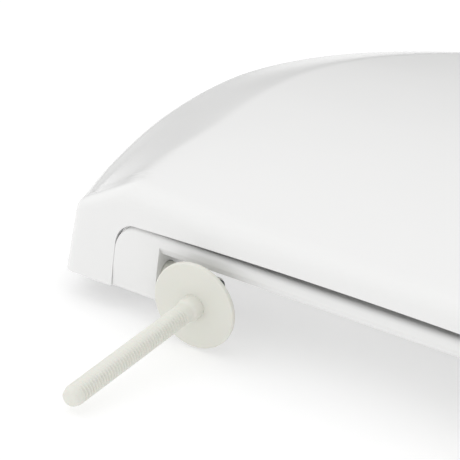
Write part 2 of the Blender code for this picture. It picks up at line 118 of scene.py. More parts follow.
# Seat
SEAT_INSET = 6.2
SEAT_REAR_Y = 41.0
SEAT_WALL = 3.0
SEAT_BOTTOM = -9.2
SEAT_TOP = 17.0
HOLE_Y = 205.0
HOLE_HALF_WIDTH = 108.0
HOLE_HALF_LENGTH = 132.0
DECK_BOTTOM = 10.4
DECK_TOP = 18.2
DECK_ROUND = 2.5
DECK_SLANT_Z = 13.2
DECK_SLANT = 1.9
DECK_KNEE_Y = 32.0
DECK_KNEE_Z = 16.2
DECK_FRONT_Y = 47.0
DECK_FRONT_Z = 15.4
DECK_HALF_WIDTH = 123.2
BLOCK_INNER_X = 101.5
BLOCK_FRONT_Y = 11.8
BLOCK_BOTTOM = -10.1
BLOCK_ROUND = 2.5
BLOCK_CREASE = -1.0
BLOCK_SLANT = 1.0
BLOCK_CORNER = 9.5
BLOCK_BORE = 5.55
RING_CORNER = 26.0

# Rows of the seat's skin: inset from its outline, share of the way to the opening,
# inset from the opening, height
RING_ROWS = (
    (0.0, 0.0, 0.0, SEAT_BOTTOM), (0.2, 0.0, 0.0, -2.0), (0.6, 0.0, 0.0, 4.5), (1.6, 0.0, 0.0, 8.4),
    (3.2, 0.0, 0.0, 11.2), (5.6, 0.0, 0.0, 13.4), (8.8, 0.0, 0.0, 15.0), (0.0, 0.2, 0.0, 16.2),
    (0.0, 0.32, 0.0, 16.8), (0.0, 0.45, 0.0, SEAT_TOP), (0.0, 0.6, 0.0, 16.8), (0.0, 0.74, 0.0, 16.2),
    (0.0, 1.0, 9.0, 14.6), (0.0, 1.0, 5.4, 12.6), (0.0, 1.0, 2.8, 9.8), (0.0, 1.0, 1.2, 6.0),
    (0.0, 1.0, 0.4, 0.0), (0.0, 1.0, 0.0, SEAT_BOTTOM),
)

# Hinge posts, with the bolt straight down
POST_X = 77.5
POST_TILT = 9.0
POST_HEIGHT = 16.75
BARREL_RADIUS = 5.2
BARREL_OUTER_X = 107.0
BARREL_INNER_X = 78.6
PIN_HEAD_END_X = 75.6
PIN_HEAD_RADIUS = 4.6
NECK_RADIUS = 6.4
NECK_TOP_RADIUS = 5.0
NECK_TOP_Z = 2.5
NECK_WAIST_Z = -6.5
NECK_SHOULDER_Z = -9.5
DISC_RADIUS = 19.0
DISC_THICK = 2.3
DISC_SOFT = 0.6
BOLT_RADIUS = 4.35
BOLT_LENGTH = 83.5
COLLAR_RADIUS = 5.15
COLLAR_LENGTH = 5.5
BOLT_PLAIN = 9.5
BOLT_TIP_RADIUS = 3.8
BOLT_TIP_LENGTH = 3.4
BOLT_TIP_ROUND = 1.5
BOLT_START_Z = -(POST_HEIGHT - DISC_THICK - 5.0)
BOLT_TIP_Z = -(POST_HEIGHT + BOLT_LENGTH)
THREAD_TOP_Z = -(POST_HEIGHT + BOLT_PLAIN)
THREAD_END_Z = BOLT_TIP_Z + BOLT_TIP_LENGTH
COLLAR_TAPER_LEAD = 1.6
COLLAR_TAPER = 2.6
THREAD_FADE_IN = 1.5
THREAD_FADE_OUT = 0.8
GROOVE_STEEPNESS = 1.6
GROOVE_LEAST = 0.15
BOLT_STEPS = 36
ROWS_A_TURN = 9
BAR_STEPS = 48
DISC_STEPS = 120

# Studio, in metres and degrees, placed from the hinge frame or from the floor
CAMERA_OFFSET = (0.30064, -0.65676, 0.31470)
CAMERA_TURN = (69.042, -6.678, 32.272)
KEY_PLACE, KEY_SIZE = (0.9, -1.2, 1.5), 1.1
FILL_PLACE, FILL_SIZE = (-1.3, -0.6, 0.9), 1.4
LIGHT_AIM = (0.0, -0.1, 0.0)
FLOOR_REACH = 12.0
FLOOR_Z = -0.0005
SKY_LEAN = (-0.45, -0.10, 0.89)
DARK_SIDE = (-0.2, 0.98, 0.0)


class LookSettings(bpy.types.PropertyGroup):
    """How finely the surfaces are cut and how they are finished."""

    outline_steps: IntProperty(
        name="Outline steps", description="Points round each quarter of the lid's outline", default=48, min=8
    )
    edge_round: FloatProperty(
        name="Edge rounding", description="Radius of the moulded edges", default=0.0005, unit="LENGTH"
    )
    thread_pitch: FloatProperty(
        name="Thread pitch", description="Distance between turns of the bolt's thread", default=0.00165,
        unit="LENGTH",
    )
    thread_depth: FloatProperty(
        name="Thread depth", description="Depth of the bolt's thread", default=0.0009, unit="LENGTH"
    )
    lid_colour: FloatVectorProperty(
        name="Seat colour", description="Colour of the white mouldings", default=(0.815, 0.815, 0.81),
        subtype="COLOR",
    )
    post_colour: FloatVectorProperty(
        name="Post colour", description="Colour of the hinge posts and bolts", default=(0.74, 0.74, 0.68),
        subtype="COLOR",
    )


class StudioSettings(bpy.types.PropertyGroup):
    """The lights and the camera."""

    key_power: FloatProperty(
        name="Key light", description="Power of the key light", default=1.2, unit="POWER"
    )
    fill_power: FloatProperty(
        name="Fill light", description="Power of the fill light", default=0.5, unit="POWER"
    )
    surround: FloatProperty(
        name="Surround", description="Brightness of the surroundings", default=0.80, subtype="FACTOR"
    )
    sky_slope: FloatProperty(
        name="Sky slope", description="How much brighter the surroundings are on one side", default=0.42
    )
    dark_stretch: FloatProperty(
        name="Dark stretch", description="How dark it is low down in front of the seat", default=0.9
    )
    floor_glow: FloatProperty(
        name="Floor glow", description="Light that the floor gives off by itself", default=0.42, min=0.0
    )
    focal_length: FloatProperty(
        name="Focal length", description="Camera lens in millimetres", default=156.5, min=1.0
    )


def mesh_object(bm, name, paint, body, sharp=40.0, turn=0.0):
    """Makes an object of bm, in millimetres about the hinge axis, that rides on a body."""
    bmesh.ops.scale(bm, vec=(MM, MM, MM), verts=bm.verts)
    bmesh.ops.rotate(bm, verts=bm.verts, matrix=Matrix.Rotation(turn, 3, "X"))
    bmesh.ops.translate(bm, verts=bm.verts, vec=AXIS)
    bmesh.ops.recalc_face_normals(bm, faces=bm.faces)
    mesh = bpy.data.meshes.new(name)
    bm.to_mesh(mesh)
    bm.free()
    mesh.shade_smooth()
    mesh.set_sharp_from_angle(angle=math.radians(sharp))
    made = bpy.data.objects.new(name, mesh)
    bpy.context.scene.collection.objects.link(made)
    if paint is not None:
        mesh.materials.append(paint)
    if body is not None:
        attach(made, body)
    return made


def join_or_cut(target, bm, operation):
    """Applies a Boolean with the closed mesh bm and drops the tool."""
    tool = mesh_object(bm, "tool", None, None)
    step = target.modifiers.new("step", "BOOLEAN")
    step.operation, step.object, step.solver = operation, tool, "EXACT"
    apply_modifiers(target)
    bpy.data.objects.remove(tool, do_unlink=True)


def apply_modifiers(target):
    """Replaces an object's mesh by its evaluated one."""
    bpy.context.view_layer.update()
    graph = bpy.context.evaluated_depsgraph_get()
    made = bpy.data.meshes.new_from_object(target.evaluated_get(graph))
    target.modifiers.clear()
    old = target.data
    target.data = made
    bpy.data.meshes.remove(old)


def soften(target, width, angle=50.0, segments=3):
    """Rounds the moulded edges."""
    step = target.modifiers.new("edges", "BEVEL")
    step.width, step.segments = width, segments
    step.limit_method, step.angle_limit = "ANGLE", math.radians(angle)
    step.harden_normals = False
    step.use_clamp_overlap = True


def clamp(value):
    """The value held between 0 and 1."""
    return min(1.0, max(0.0, value))


def quarter(steps):
    """Angles from 0 to a right angle."""
    return [math.pi / 2 * k / steps for k in range(steps + 1)]


def around(steps):
    """Angles once round a circle."""
    return [2 * math.pi * k / steps for k in range(steps)]


def circle(bm, radius, height, steps):
    """A ring of vertices round Z."""
    return [bm.verts.new((radius * math.cos(a), radius * math.sin(a), height)) for a in around(steps)]


def bridge(bm, ring, following):
    """Joins two rings of as many vertices with faces."""
    for k, vert in enumerate(ring):
        after = (k + 1) % len(ring)
        bm.faces.new((vert, ring[after], following[after], following[k]))


def loft(bm, rings):
    """Joins each ring to the next."""
    for ring, following in zip(rings, rings[1:]):
        bridge(bm, ring, following)


def fan(bm, ring, point):
    """Closes a ring with triangles that meet at a point."""
    hub = bm.verts.new(point)
    for near, far in zip(ring, ring[1:] + ring[:1]):
        bm.faces.new((near, far, hub))


def shifted(bm, x, y=0.0, z=0.0):
    """Moves the whole of bm and gives it back."""
    bmesh.ops.translate(bm, verts=bm.verts, vec=(x, y, z))
    return bm


def turned(profile, steps, axis="Z"):
    """A closed mesh turned from (radius, height) points, the first and last on the axis."""
    bm = bmesh.new()
    rings = [circle(bm, radius, height, steps) for radius, height in profile[1:-1]]
    loft(bm, rings)
    fan(bm, rings[0], (0.0, 0.0, profile[0][1]))
    fan(bm, rings[-1], (0.0, 0.0, profile[-1][1]))
    if axis == "X":
        bmesh.ops.rotate(bm, verts=bm.verts, matrix=Matrix.Rotation(math.pi / 2, 3, "Y"))
    return bm


def ring_turned(profile, steps):
    """A closed mesh turned about Z from a closed outline of (radius, height) points."""
    bm = bmesh.new()
    rings = [circle(bm, radius, height, steps) for radius, height in profile]
    loft(bm, rings + rings[:1])
    return bm


def bar(radius, start, end):
    """A round bar along X."""
    low, high = min(start, end), max(start, end)
    return turned([(0.0, low), (radius, low), (radius, high), (0.0, high)], BAR_STEPS, "X")


def rounded(profile, radius, steps=4):
    """A profile of (radius, height) points whose inner corners are rounded."""
    made = [profile[0]]
    for before, point, after in zip(profile, profile[1:], profile[2:]):
        here = Vector(point)
        back, on = Vector(before) - here, Vector(after) - here
        reach = min(radius, back.length * 0.45, on.length * 0.45)
        start, end = here + back.normalized() * reach, here + on.normalized() * reach
        for k in range(steps + 1):
            t = k / steps
            made.append(tuple(start * (1 - t) ** 2 + here * (2 * t * (1 - t)) + end * t**2))
    made.append(profile[-1])
    return made


def half_width(y):
    """Half the lid's width at its rim."""
    if y > WIDEST_Y:
        along = (y - WIDEST_Y) / (LID_FRONT_Y - WIDEST_Y)
        return LID_HALF_WIDTH * math.sqrt(max(0.0, 1.0 - along * along))
    back = (WIDEST_Y - y) / (WIDEST_Y - REAR_Y)
    return LID_HALF_WIDTH - (LID_HALF_WIDTH - REAR_HALF_WIDTH) * back**FLARE_POWER


def rear_line(x, rear_y, bow):
    """How far back the bowed rear edge lies."""
    reach = min(1.0, abs(x) / DECK_HALF_WIDTH)
    return rear_y - bow * (1.0 - reach * reach)


def outline(inset, rear_y, bow, corner, fine):
    """The closed outline in plan, inset from the lid's rim, anticlockwise from the rear centre."""
    corner_y = rear_y + corner
    corner_x = half_width(rear_y) - inset
    half = []
    for k in range(fine):
        x = (corner_x - corner) * k / fine
        half.append((x, rear_line(x, rear_y, bow)))
    side_x = half_width(corner_y) - inset
    for angle in quarter(max(4, fine // 6)):
        half.append((side_x - corner + corner * math.sin(angle), corner_y - corner * math.cos(angle)))
    for k in range(1, fine):
        y = corner_y + (WIDEST_Y - corner_y) * k / fine
        half.append((half_width(y) - inset, y))
    for angle in quarter(fine):
        y = WIDEST_Y + (LID_FRONT_Y - inset - WIDEST_Y) * math.sin(angle)
        half.append((max((LID_HALF_WIDTH - inset) * math.cos(angle), 0.0), y))
    other = [(-x, y) for x, y in reversed(half[1:-1])]
    return [Vector(point) for point in half + other]


def side_distance(x, y):
    """How far a point of the plan lies inside the lid's rim, rear edge apart."""
    if y <= WIDEST_Y:
        return half_width(y) - abs(x)
    across, along = x / LID_HALF_WIDTH, (y - WIDEST_Y) / (LID_FRONT_Y - WIDEST_Y)
    reach = math.hypot(across, along)
    if reach < 1e-6:
        return LID_HALF_WIDTH
    share = (along / reach) ** 2
    return (1.0 - reach) * (LID_HALF_WIDTH * (1 - share) + (LID_FRONT_Y - WIDEST_Y) * share)


def top_height(x, y):
    """The height of the lid's top skin: a sloping band round the edge and a gentle crown."""
    inside = side_distance(x, y) - WALL_DRAFT - SIDE_FILLET
    forward = clamp((y - BAND_GROW_Y) / BAND_GROW_LENGTH)
    forward = forward * forward * (3.0 - 2.0 * forward)
    width = REAR_BAND_WIDTH + (BAND_WIDTH - REAR_BAND_WIDTH) * forward
    across = clamp(inside / width)
    edge = EDGE_SWELL * forward
    band = edge + (BAND_RISE - edge) * (1.0 - (1.0 - across) ** BAND_POWER)
    crown = CROWN_RISE * (1.0 - (1.0 - clamp(inside / CROWN_REACH)) ** 2)
    along = clamp((y - REAR_Y) / (LID_FRONT_Y - REAR_Y))
    swell = LENGTH_SWELL * math.sin(math.pi * along)
    middle = max(0.0, 1.0 - (x / DECK_HALF_WIDTH) ** 2)
    dip = REAR_DIP * middle * math.exp(-(y - REAR_Y) / REAR_DIP_LENGTH)
    return EDGE_Z + band + crown + swell - dip


def lid_line(side_inset, rear_inset, fine):
    """The outline inside the rim; its rear corners first tighten and then open out."""
    if side_inset < CORNER_TURN:
        corner = max(CORNER_LEAST, PLAN_CORNER - CORNER_TIGHTEN * side_inset)
    else:
        corner = CORNER_LEAST + CORNER_OPEN * (side_inset - CORNER_TURN)
    return outline(side_inset, REAR_Y + rear_inset, REAR_BOW, corner, fine)


def fillet_radius(y):
    """The rounding between wall and top, larger at the rear."""
    rear = max(0.0, 1.0 - max(0.0, y - REAR_Y) / REAR_FILLET_FADE)
    return SIDE_FILLET + (REAR_FILLET - SIDE_FILLET) * rear


def wall_ring(bm, share, turn, edge, fine):
    """A ring of the lid's wall, a share of the way up, or turned round the fillet above it."""
    ring, lines = [], {}
    for k, point in enumerate(edge):
        radius = fillet_radius(point.y - SIDE_FILLET)
        spring = top_height(point.x, point.y) - radius
        level = radius * (1 - math.cos(turn))
        if level not in lines:
            lines[level] = lid_line(WALL_DRAFT * share + level, level, fine)
        spot = lines[level][k]
        height = RIM_Z + (spring - RIM_Z) * share + radius * math.sin(turn)
        ring.append(bm.verts.new((spot.x, spot.y, height)))
    return ring


def top_vertex(bm, x, y):
    """A vertex on the lid's top skin."""
    return bm.verts.new((x, y, top_height(x, y)))


def lid_skin(fine):
    """The lid's outer skin, open underneath."""
    bm = bmesh.new()
    edge = lid_line(WALL_DRAFT + SIDE_FILLET, SIDE_FILLET, fine)
    rings = [wall_ring(bm, k / WALL_ROWS, 0.0, edge, fine) for k in range(WALL_ROWS + 1)]
    rings += [wall_ring(bm, 1.0, math.radians(turn), edge, fine) for turn in range(10, 90, 10)]
    for inset in [TOP_ROW_INSET + TOP_ROW_GAP * k for k in range(TOP_ROWS)]:
        rings.append([top_vertex(bm, p.x, p.y) for p in lid_line(inset, inset, fine)])
    last = lid_line(INNER_ROW_INSET, INNER_ROW_INSET, fine)
    spine_start = REAR_Y + SPINE_REACH
    for share in [INNER_ROW_SHARE * k for k in range(INNER_ROWS)]:
        ring = []
        for point in last:
            spine = Vector((0.0, min(WIDEST_Y, max(spine_start, point.y))))
            spot = point.lerp(spine, share)
            ring.append(top_vertex(bm, spot.x, spot.y))
        rings.append(ring)
    loft(bm, rings)
    middle = (spine_start + WIDEST_Y) / 2
    fan(bm, rings[-1], (0.0, middle, top_height(0.0, middle)))
    return bm


def prism(section, spread, low, high):
    """A prism whose ends are the closed section; spread turns (u, v, level) into a point."""
    bm = bmesh.new()
    near = [bm.verts.new(spread(u, v, low)) for u, v in section]
    far = [bm.verts.new(spread(u, v, high)) for u, v in section]
    bridge(bm, near, far)
    bm.faces.new(near)
    bm.faces.new(list(reversed(far)))
    return bm


def arc(centre_u, centre_v, radius, start, end, steps):
    """Points along an arc between two angles in degrees."""
    found = []
    for k in range(steps + 1):
        angle = math.radians(start + (end - start) * k / steps)
        found.append((centre_u + radius * math.cos(angle), centre_v + radius * math.sin(angle)))
    return found


def notch_section():
    """The notch in the lid's rear wall, with an arched top, as seen from behind."""
    side, low = DECK_HALF_WIDTH + NOTCH_GAP, RIM_Z - 10.0
    corner_x, corner_z = side - NOTCH_CORNER, NOTCH_TOP - NOTCH_CORNER
    right = [(side, low)] + arc(corner_x, corner_z, NOTCH_CORNER, 0, 90, 16)
    arch = [corner_x * (1 - k / 24) for k in range(1, 24)]
    right += [(x, NOTCH_TOP + NOTCH_ARCH * (1 - (x / corner_x) ** 2)) for x in arch]
    return right + [(0.0, NOTCH_TOP + NOTCH_ARCH)] + [(-x, z) for x, z in reversed(right)]


def deck_body():
    """The seat's rear edge between the hinge blocks."""
    section = arc(REAR_Y + DECK_ROUND, DECK_TOP - DECK_ROUND, DECK_ROUND, 90, 180, 10)
    section += [
        (REAR_Y, DECK_SLANT_Z + 0.3), (REAR_Y + 0.1, DECK_SLANT_Z), (REAR_Y + DECK_SLANT, DECK_BOTTOM),
        (DECK_FRONT_Y, DECK_BOTTOM), (DECK_FRONT_Y, DECK_FRONT_Z), (DECK_KNEE_Y, DECK_KNEE_Z),
    ]
    reach = DECK_HALF_WIDTH - BLOCK_CORNER - 2.0
    return prism(section, lambda y, z, x: (x, y, z), -reach, reach)


def block_body(sign):
    """A hinge block, rounded over the top and at its outer top corner."""
    top = DECK_TOP + 0.05
    section = arc(REAR_Y + BLOCK_ROUND, top - BLOCK_ROUND, BLOCK_ROUND, 90, 180, 12)
    section += [
        (REAR_Y, BLOCK_CREASE + 0.4), (REAR_Y + 0.06, BLOCK_CREASE - 0.2),
        (REAR_Y + BLOCK_SLANT, BLOCK_BOTTOM), (BLOCK_FRONT_Y, BLOCK_BOTTOM), (BLOCK_FRONT_Y, top),
    ]
    bm = bmesh.new()
    rings = [[bm.verts.new((sign * BLOCK_INNER_X, y, z)) for y, z in section]]
    rounded_from = top - BLOCK_ROUND - 0.5
    for angle in quarter(10):
        x = sign * (DECK_HALF_WIDTH - BLOCK_CORNER + BLOCK_CORNER * math.sin(angle))
        drop = BLOCK_CORNER * (1 - math.cos(angle))
        ring = []
        for y, z in section:
            ring.append(bm.verts.new((x, y, z - drop if z > rounded_from else z)))
        rings.append(ring)
    loft(bm, rings)
    bm.faces.new(rings[0])
    bm.faces.new(rings[-1])
    return bm


def ring_skin(fine):
    """The seat's upper skin round its opening, open underneath."""
    outer = outline(SEAT_INSET, SEAT_REAR_Y, 0.0, RING_CORNER, fine)
    inner = []
    for point in outer:
        angle = math.atan2(point.y - HOLE_Y, point.x)
        c, s = math.cos(angle), math.sin(angle)
        reach = 1.0 / math.sqrt((c / HOLE_HALF_WIDTH) ** 2 + (s / HOLE_HALF_LENGTH) ** 2)
        inner.append(Vector((reach * c, HOLE_Y + reach * s)))
    bm = bmesh.new()
    rings = []
    for out_inset, share, hole_inset, height in RING_ROWS:
        ring = []
        for near, far in zip(outer, inner):
            way = (far - near).normalized()
            spot = (near + way * out_inset).lerp(far - way * hole_inset, share)
            ring.append(bm.verts.new((spot.x, spot.y, height)))
        rings.append(ring)
    loft(bm, rings)
    return bm


def base_disc():
    """The flange under a post, with a softened rim and a bore for the bolt's collar."""
    top, face = -(POST_HEIGHT - DISC_THICK), -POST_HEIGHT
    bore, round_bore = COLLAR_RADIUS + 0.02, COLLAR_RADIUS + 0.6
    edge = DISC_RADIUS - DISC_SOFT
    profile = [(bore, face), (round_bore, face), (edge - 0.5, face)]
    profile += arc(edge, face + DISC_SOFT, DISC_SOFT, -90, 0, 5)
    profile += arc(edge, top - DISC_SOFT, DISC_SOFT, 0, 90, 5)
    profile += [(edge - 0.5, top), (round_bore, top), (bore, top)]
    return ring_turned(profile, DISC_STEPS)


def bolt_head_profile():
    """(radius, height) points of the bolt's plain end: inside the neck, the collar and its taper."""
    under = -(POST_HEIGHT - DISC_THICK)
    taper_top = -(POST_HEIGHT + COLLAR_LENGTH) + COLLAR_TAPER_LEAD
    profile = [
        (BOLT_RADIUS, BOLT_START_Z), (BOLT_RADIUS, under + 0.1), (COLLAR_RADIUS, under),
        (COLLAR_RADIUS, -POST_HEIGHT), (COLLAR_RADIUS, taper_top),
    ]
    for k in range(1, 7):
        share = k / 6
        eased = 0.5 - 0.5 * math.cos(math.pi * share)
        radius = COLLAR_RADIUS + (BOLT_RADIUS - COLLAR_RADIUS) * eased
        profile.append((radius, taper_top - COLLAR_TAPER * share))
    return profile + [(BOLT_RADIUS, THREAD_TOP_Z + 0.2)]


def bolt_tip_profile():
    """(radius, height) points of the bolt's rounded end."""
    profile = [(BOLT_TIP_RADIUS + 0.25, THREAD_END_Z - 0.25)]
    for angle in quarter(6):
        radius = BOLT_TIP_RADIUS - BOLT_TIP_ROUND * (1.0 - math.cos(angle))
        profile.append((radius, BOLT_TIP_Z + 0.3 + BOLT_TIP_ROUND * (1.0 - math.sin(angle))))
    return profile + [(1.2, BOLT_TIP_Z + 0.05)]


def thread_row(z, pitch, depth):
    """(radius, height) points once round the thread, which is shallow where the mould parts."""
    fade = min(1.0, (THREAD_TOP_Z - z) / THREAD_FADE_IN, max(0.0, (z - THREAD_END_Z) / THREAD_FADE_OUT))
    row = []
    for k, angle in enumerate(around(BOLT_STEPS)):
        along = (z / pitch - k / BOLT_STEPS) % 1.0
        groove = max(0.0, 1.0 - abs(2.0 * along - 1.0) * GROOVE_STEEPNESS)
        flank = clamp((abs(math.cos(angle)) - 0.5) * 4.0)
        groove *= GROOVE_LEAST + (1.0 - GROOVE_LEAST) * flank
        row.append((BOLT_RADIUS - depth * groove * fade, z))
    return row


def threaded_bolt(pitch, depth):
    """A bolt along -Z with a plain collar, a fine thread and a rounded end."""
    rows = [[point] * BOLT_STEPS for point in bolt_head_profile()]
    count = int((THREAD_TOP_Z - THREAD_END_Z) / (pitch / ROWS_A_TURN))
    rows += [thread_row(THREAD_TOP_Z - k * pitch / ROWS_A_TURN, pitch, depth) for k in range(count + 1)]
    rows += [[point] * BOLT_STEPS for point in bolt_tip_profile()]
    bm = bmesh.new()
    rings = []
    for row in rows:
        turns = zip(row, around(BOLT_STEPS))
        rings.append([bm.verts.new((r * math.cos(a), r * math.sin(a), z)) for (r, z), a in turns])
    loft(bm, rings)
    fan(bm, rings[0], (0.0, 0.0, BOLT_START_Z))
    fan(bm, rings[-1], (0.0, 0.0, BOLT_TIP_Z))
    return bm


# Materials


def new_group(name, inputs, outputs):
    """An empty shader node group with float inputs and the named outputs."""
    group = bpy.data.node_groups.new(name, "ShaderNodeTree")
    for label, value in inputs:
        socket = group.interface.new_socket(label, in_out="INPUT", socket_type="NodeSocketFloat")
        socket.default_value = value
    for label in outputs:
        group.interface.new_socket(label, in_out="OUTPUT", socket_type="NodeSocketFloat")
    return group, group.nodes.new("NodeGroupInput"), group.nodes.new("NodeGroupOutput")


def math_node(tree, operation, *values):
    """The output of a math node fed with sockets and plain numbers."""
    step = tree.nodes.new("ShaderNodeMath")
    step.operation = operation
    for socket, value in zip(step.inputs, values):
        if isinstance(value, float):
            socket.default_value = value
        else:
            tree.links.new(value, socket)
    return step.outputs[0]


def moulded_group():
    """Fine moulded grain, faint flow marks and a few specks, as values."""
    group, given, made = new_group(
        "Moulded surface",
        (("Grain size", 900.0), ("Roughness", 0.25), ("Spread", 0.06)),
        ("Roughness", "Height", "Tint"),
    )
    nodes, links = group.nodes, group.links
    place = nodes.new("ShaderNodeTexCoord")
    grain = nodes.new("ShaderNodeTexNoise")
    grain.inputs["Detail"].default_value = 4.0
    links.new(place.outputs["Object"], grain.inputs["Vector"])
    links.new(given.outputs["Grain size"], grain.inputs["Scale"])
    flow = nodes.new("ShaderNodeTexNoise")
    flow.inputs["Scale"].default_value = 14.0
    flow.inputs["Detail"].default_value = 2.0
    links.new(place.outputs["Object"], flow.inputs["Vector"])
    centred = math_node(group, "SUBTRACT", flow.outputs["Fac"], 0.5)
    spread = math_node(group, "MULTIPLY_ADD", centred, given.outputs["Spread"], given.outputs["Roughness"])
    links.new(spread, made.inputs["Roughness"])
    links.new(grain.outputs["Fac"], made.inputs["Height"])
    specks = nodes.new("ShaderNodeTexVoronoi")
    specks.inputs["Scale"].default_value = 60.0
    links.new(place.outputs["Object"], specks.inputs["Vector"])
    dots = nodes.new("ShaderNodeMapRange")
    dots.inputs["From Min"].default_value = 0.02
    dots.inputs["From Max"].default_value = 0.05
    dots.inputs["To Min"].default_value = 0.985
    dots.inputs["To Max"].default_value = 1.0
    links.new(specks.outputs["Distance"], dots.inputs["Value"])
    tint = math_node(group, "MULTIPLY_ADD", centred, 0.03, dots.outputs["Result"])
    links.new(tint, made.inputs["Tint"])
    return group


def turning_group():
    """Fine rings round the hinge axis, as left by turning."""
    group, given, made = new_group("Turned rings", (("Rings", 2600.0),), ("Height", "Mask"))
    nodes, links = group.nodes, group.links
    place = nodes.new("ShaderNodeTexCoord")
    wave = nodes.new("ShaderNodeTexWave")
    wave.bands_direction = "X"
    wave.inputs["Distortion"].default_value = 0.6
    links.new(place.outputs["Object"], wave.inputs["Vector"])
    links.new(given.outputs["Rings"], wave.inputs["Scale"])
    links.new(wave.outputs["Fac"], made.inputs["Height"])
    noise = nodes.new("ShaderNodeTexNoise")
    noise.inputs["Scale"].default_value = 350.0
    links.new(place.outputs["Object"], noise.inputs["Vector"])
    links.new(noise.outputs["Fac"], made.inputs["Mask"])
    return group


def plastic(name, colour, roughness, bump, grain=900.0, spread=0.06, scatter=0.0):
    """A moulded plastic or rubber."""
    material = bpy.data.materials.new(name)
    material.use_nodes = True
    nodes, links = material.node_tree.nodes, material.node_tree.links
    shader = nodes["Principled BSDF"]
    shader.inputs["Subsurface Weight"].default_value = scatter
    shader.inputs["Subsurface Scale"].default_value = 0.002
    surface = nodes.new("ShaderNodeGroup")
    surface.node_tree = bpy.data.node_groups["Moulded surface"]
    surface.inputs["Grain size"].default_value = grain
    surface.inputs["Roughness"].default_value = roughness
    surface.inputs["Spread"].default_value = spread
    shade = nodes.new("ShaderNodeVectorMath")
    shade.operation = "SCALE"
    shade.inputs[0].default_value = colour
    links.new(surface.outputs["Tint"], shade.inputs["Scale"])
    links.new(shade.outputs["Vector"], shader.inputs["Base Color"])
    links.new(surface.outputs["Roughness"], shader.inputs["Roughness"])
    relief = nodes.new("ShaderNodeBump")
    relief.inputs["Strength"].default_value = bump
    relief.inputs["Distance"].default_value = 0.0001
    links.new(surface.outputs["Height"], relief.inputs["Height"])
    links.new(relief.outputs["Normal"], shader.inputs["Normal"])
    return material


def metal(name, dark, light, roughness, metallic):
    """A turned metal."""
    material = bpy.data.materials.new(name)
    material.use_nodes = True
    nodes, links = material.node_tree.nodes, material.node_tree.links
    shader = nodes["Principled BSDF"]
    shader.inputs["Metallic"].default_value = metallic
    rings = nodes.new("ShaderNodeGroup")
    rings.node_tree = bpy.data.node_groups["Turned rings"]
    ramp = nodes.new("ShaderNodeMix")
    ramp.data_type = "RGBA"
    ramp.inputs["A"].default_value = (*dark, 1.0)
    ramp.inputs["B"].default_value = (*light, 1.0)
    links.new(rings.outputs["Mask"], ramp.inputs["Factor"])
    links.new(ramp.outputs["Result"], shader.inputs["Base Color"])
    level = nodes.new("ShaderNodeMapRange")
    level.inputs["To Min"].default_value = roughness - 0.06
    level.inputs["To Max"].default_value = roughness + 0.08
    links.new(rings.outputs["Mask"], level.inputs["Value"])
    links.new(level.outputs["Result"], shader.inputs["Roughness"])
    relief = nodes.new("ShaderNodeBump")
    relief.inputs["Strength"].default_value = 0.12
    relief.inputs["Distance"].default_value = 0.0001
    links.new(rings.outputs["Height"], relief.inputs["Height"])
    links.new(relief.outputs["Normal"], shader.inputs["Normal"])
    return material


def material_named(name):
    """The material of that name, made by the first operator."""
    return bpy.data.materials[name]


# Operators


class SEATLOOKS_OT_materials(bpy.types.Operator):
    """Make the node groups and the materials."""

    bl_idname = "seatlooks.materials"
    bl_label = "Make materials"

    def execute(self, context):
        looks = context.scene.seat_looks
        moulded_group()
        turning_group()
        plastic("White moulding", looks.lid_colour, 0.24, 0.05)
        plastic("Ivory moulding", looks.post_colour, 0.38, 0.12, 700.0, 0.1, 0.05)
        plastic("Natural plastic", (0.62, 0.60, 0.53), 0.45, 0.2, 600.0, 0.1)
        plastic("Pad rubber", (0.55, 0.55, 0.53), 0.62, 0.4, 500.0, 0.15)
        # The pin is a real steel part, but its near-black colour is painted shade for the recess behind the
        # base disc
        metal("Pin painted shade", (0.05, 0.05, 0.052), (0.09, 0.09, 0.095), 0.42, 0.7)
        metal("Turned steel", (0.42, 0.42, 0.43), (0.58, 0.58, 0.6), 0.28, 1.0)
        return {"FINISHED"}


class SEATLOOKS_OT_lid(bpy.types.Operator):
    """Build the lid's shell with its rear notch and hinge bosses."""

    bl_idname = "seatlooks.lid"
    bl_label = "Build lid"

    def execute(self, context):
        looks = context.scene.seat_looks
        lid = mesh_object(lid_skin(looks.outline_steps), "lid", material_named("White moulding"), "lid")
        shell = lid.modifiers.new("wall", "SOLIDIFY")
        shell.thickness, shell.offset, shell.use_even_offset = LID_WALL * MM, -1.0, True
        apply_modifiers(lid)
        join_or_cut(lid, prism(notch_section(), lambda x, z, y: (x, y, z), -30.0, -1.0), "DIFFERENCE")
        for sign in (-1, 1):
            join_or_cut(lid, bar(BOSS_RADIUS, sign * BOSS_INNER_X, sign * BOSS_OUTER_X), "UNION")
            bore = bar(BUSH_BORE, sign * (BOSS_INNER_X - 3), sign * (BOSS_OUTER_X - 1.2))
            join_or_cut(lid, bore, "DIFFERENCE")
        lid.data.set_sharp_from_angle(angle=math.radians(40))
        soften(lid, looks.edge_round)
        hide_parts("lid_shell")
        return {"FINISHED"}


class SEATLOOKS_OT_seat(bpy.types.Operator):
    """Build the seat with its rear edge and hinge blocks."""

    bl_idname = "seatlooks.seat"
    bl_label = "Build seat"

    def execute(self, context):
        looks = context.scene.seat_looks
        seat = mesh_object(ring_skin(looks.outline_steps), "seat", material_named("White moulding"), "seat")
        shell = seat.modifiers.new("wall", "SOLIDIFY")
        shell.thickness, shell.offset, shell.use_even_offset = SEAT_WALL * MM, -1.0, True
        apply_modifiers(seat)
        join_or_cut(seat, deck_body(), "UNION")
        for sign in (-1, 1):
            join_or_cut(seat, block_body(sign), "UNION")
            bore = bar(BLOCK_BORE, sign * (BLOCK_INNER_X - 5), sign * (DECK_HALF_WIDTH + 5))
            join_or_cut(seat, bore, "DIFFERENCE")
        seat.data.set_sharp_from_angle(angle=math.radians(35))
        soften(seat, looks.edge_round)
        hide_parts("seat_ring")
        return {"FINISHED"}


